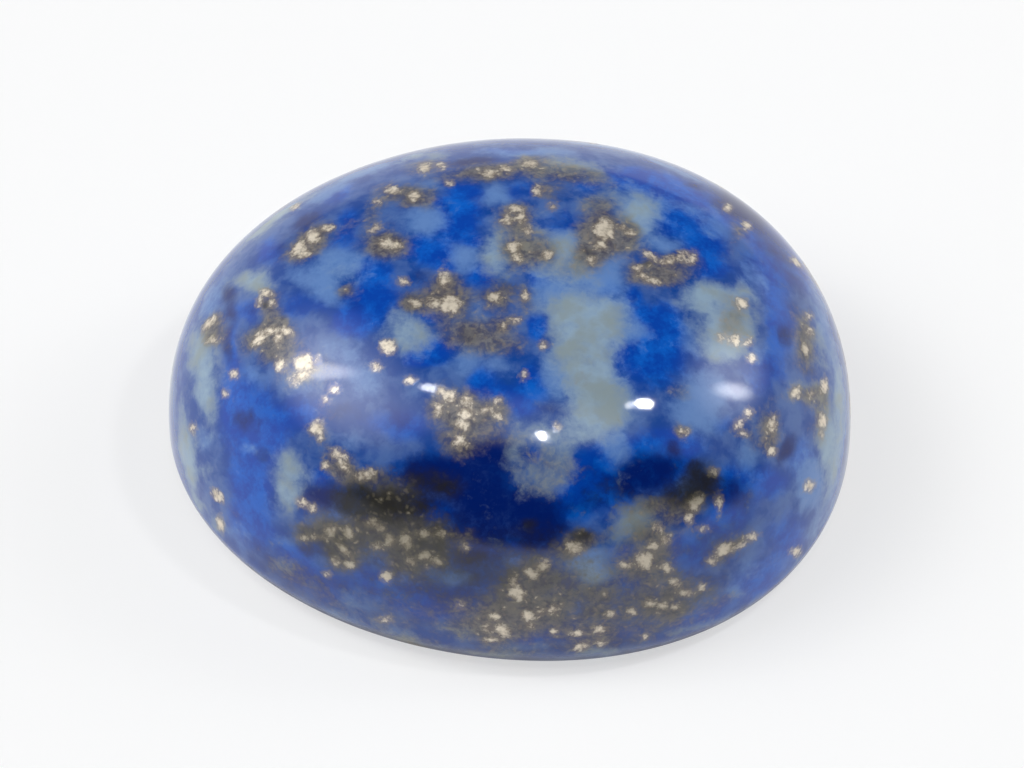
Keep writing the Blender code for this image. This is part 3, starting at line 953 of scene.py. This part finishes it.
# painted shade: the ground edge is painted dark grey, partly for the shade where the stone meets the floor
surface_colour = (ground_and_shaded_edge * GROUND_AND_SHADE_COVER).blend(surface_colour, GROUND_AND_SHADE_GREY)
roughness = metal * PYRITE_ROUGHNESS + smoke_and_shade * SMOKE_ROUGHNESS + ground_and_shaded_edge * GROUND_ROUGHNESS
roughness = roughness + fine * GRAIN_ROUGHNESS + POLISH
relief = start.node("ShaderNodeBump", None, {
    "Strength": RELIEF_STRENGTH,
    "Distance": RELIEF_HEIGHT,
    "Height": metal * 0.6 + fine * 0.25 + fray * ground_and_shaded_edge,
})
shader = start.node("ShaderNodeBsdfPrincipled", None, {
    "Base Color": surface_colour,
    "Roughness": roughness,
    "Metallic": metal * PYRITE_METAL,
    "Normal": relief,
    "IOR": STONE_IOR,
})
start.node("ShaderNodeOutputMaterial", None, {"Surface": shader})
stone.data.materials.append(rock)
print("rock material:", len(network.nodes), "nodes")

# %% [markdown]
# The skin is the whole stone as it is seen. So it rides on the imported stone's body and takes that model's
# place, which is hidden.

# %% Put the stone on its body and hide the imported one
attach(stone, "root")
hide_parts("lapis_cabochon")

# %% [markdown]
# ## The light tent
#
# Polished stones are photographed in a tent of white cloth with a white floor, open at the front for the
# camera. The tent matters as much as the stone, because the dome mirrors it: the two lit side walls veil
# the left and right of the dome, and the open front lies as a dark patch across its face. The floor is a
# light pad under white acrylic: its own glow lifts the shadow of the stone.

# %% Lay the white floor
FLOOR_SIZE = 3.0
FLOOR_WHITE = (0.385, 0.385, 0.385)
FLOOR_ROUGHNESS = 0.6
FLOOR_GLOSS = 0.2
PAD_GLOW = 0.575

bpy.ops.object.select_all(action="DESELECT")
bpy.ops.mesh.primitive_plane_add(size=FLOOR_SIZE, location=(0, 0, 0))
floor = bpy.context.object
floor.name = "white_floor"
paper = bpy.data.materials.new("white_paper")
paper.use_nodes = True
paper_sockets = paper.node_tree.nodes["Principled BSDF"].inputs
paper_sockets["Base Color"].default_value = (*FLOOR_WHITE, 1)
paper_sockets["Roughness"].default_value = FLOOR_ROUGHNESS
paper_sockets["Specular IOR Level"].default_value = FLOOR_GLOSS
paper_sockets["Emission Color"].default_value = (1, 1, 1, 1)
paper_sockets["Emission Strength"].default_value = PAD_GLOW
floor.data.materials.append(paper)

# %% [markdown]
# The cloth walls are the world's background: brightness as a function of direction alone. Low down all
# round there is the pale sweep of the floor cloth, at both sides the lit walls, above them a dark roof.
# Folds in shade, the open front and every lit patch are oval windows on this sky, with a soft edge.

# %% Hang the cloth walls
tent = bpy.data.worlds.new("light_tent")
tent.use_nodes = True
tent.node_tree.nodes.clear()
bpy.context.scene.world = tent
air = Wire(tent.node_tree)
direction = air.node("ShaderNodeTexCoord", output="Generated")
sky_height = air.node("ShaderNodeSeparateXYZ", None, {0: direction}, output="Z")
sky_side = air.node("ShaderNodeSeparateXYZ", None, {0: direction}, output="X").maths("ABSOLUTE")


def sky_direction(azimuth, elevation):
    """The direction to a point of the tent; azimuth 0 is the front and 90 is +X, both in degrees."""
    azimuth, elevation = math.radians(azimuth), math.radians(elevation)
    return Vector((
        math.sin(azimuth) * math.cos(elevation),
        -math.cos(azimuth) * math.cos(elevation),
        math.sin(elevation),
    ))


def dot(axis):
    """How far the direction looked in goes along an axis."""
    settings = {"operation": "DOT_PRODUCT"}
    return air.node("ShaderNodeVectorMath", settings, {0: direction, 1: axis}, output="Value")


OWN_SIDE = (0.0, 0.1)


def window(azimuth, elevation, half_wide, half_high, tilt=0, softness=0.5):
    """1 inside an oval of the tent and 0 outside, all in degrees; its twin on the far side is cut off."""
    middle = sky_direction(azimuth, elevation)
    aside = Vector((math.cos(math.radians(azimuth)), math.sin(math.radians(azimuth)), 0))
    upward = middle.cross(aside) * -1
    lean = math.radians(tilt)
    along = aside * math.cos(lean) + upward * math.sin(lean)
    across = upward * math.cos(lean) - aside * math.sin(lean)
    out = dot(along / math.sin(math.radians(half_wide))).maths("POWER", 2)
    out = out + dot(across / math.sin(math.radians(half_high))).maths("POWER", 2)
    edge = out.maths("SQRT").between(1 - softness, 1 + softness)
    return (1 - edge) * dot(middle).between(*OWN_SIDE)


SWEEP_GLOW = 0.95
BACK_GLOW = 0.40
WALL_GLOW = 0.62
LOW_WALL_GLOW = 1.15
ROOF_GLOW = 0.07
STRIP_GLOW = 0.95
OPENING_SHADE = 0.98
# where one part of the tent passes into the next, as heights and side shares of a direction of length 1
LOW_WALL_ENDS = (0.10, 0.45)
WALL_BEGINS = (0.42, 0.72)
SWEEP_ENDS = (0.05, 0.12)
BACK_ENDS = (0.15, 0.35)
CLOTH_WHITE = (0.99, 0.995, 1.0, 1)

low = 1 - sky_height.between(*LOW_WALL_ENDS)
walls = sky_side.between(*WALL_BEGINS) * (low * (LOW_WALL_GLOW - WALL_GLOW) + WALL_GLOW)
sweep = (1 - sky_height.between(*SWEEP_ENDS)) * (SWEEP_GLOW - BACK_GLOW)
backdrop = (1 - sky_height.between(*BACK_ENDS)) * BACK_GLOW
brightness = walls.maths("MAXIMUM", sweep + backdrop).maths("MAXIMUM", ROOF_GLOW)

# folds in shade low at the right and the left, and how much of the light each takes
shaded_folds = [
    (window(72, 11, 18, 10, softness=0.65), 0.75),
    (window(-52, 4, 16, 13, softness=0.6), 0.4),
]
# the lit cloth at the left and at the right, each with a bright core, and how strongly each glows
lit_cloth = [
    (window(-87, 50, 20, 15, softness=0.7), 4.6),
    (window(-93.5, 47.5, 3.0, 9, softness=0.5), 8.0),
    (window(109, 36, 12.5, 11.5, softness=0.7), 3.4),
    (window(103.5, 35, 2.4, 6.5, softness=0.7), 11.0),
]
roof_strip = window(0, 76, 25, 11, softness=0.35)
open_front = window(9, 34.5, 62, 28, tilt=7, softness=0.09)

for fold, shade in shaded_folds:
    brightness = brightness * (1 - fold * shade)
brightness = brightness + roof_strip * STRIP_GLOW
brightness = brightness * (1 - open_front * OPENING_SHADE)
for cloth, glow in lit_cloth:
    brightness = brightness + cloth * glow
light = air.node("ShaderNodeBackground", None, {"Color": CLOTH_WHITE, "Strength": brightness})
air.node("ShaderNodeOutputWorld", None, {"Surface": light})

# %% [markdown]
# Under the roof hang a lamp at each side, a faint one beside the right one, and a slim one at the front,
# above the camera. They are small and strong, so the dome shows them as crisp spots.

# %% Hang the lamps
ROOF_HEIGHT = 0.30
LAMP_WHITE = (0.97, 0.98, 1.0)


def hang_lamp(name, azimuth, elevation, wide, high, glow):
    """An oval lamp facing the stone; its place and size are in degrees as the stone sees it."""
    distance = ROOF_HEIGHT / math.sin(math.radians(elevation))
    lamp = bpy.data.lights.new(name, "AREA")
    lamp.shape = "ELLIPSE"
    lamp.size = math.radians(wide) * distance
    lamp.size_y = math.radians(high) * distance
    lamp.energy = glow * math.pi * math.pi / 4 * lamp.size * lamp.size_y
    lamp.color = LAMP_WHITE
    hung = bpy.data.objects.new(name, lamp)
    hung.location = sky_direction(azimuth, elevation) * distance
    hung.rotation_euler = (-hung.location).to_track_quat("-Z", "Y").to_euler()
    bpy.context.scene.collection.objects.link(hung)


hang_lamp("lamp_right", 86.2, 64.0, 3.6, 4.8, 105)
hang_lamp("lamp_right_tail", 82.5, 67.4, 3.2, 2.4, 14)
hang_lamp("lamp_left", -80.6, 73.1, 3, 4.4, 24)
hang_lamp("front_lamp", 8.9, 69.2, 1.1, 4.6, 170)
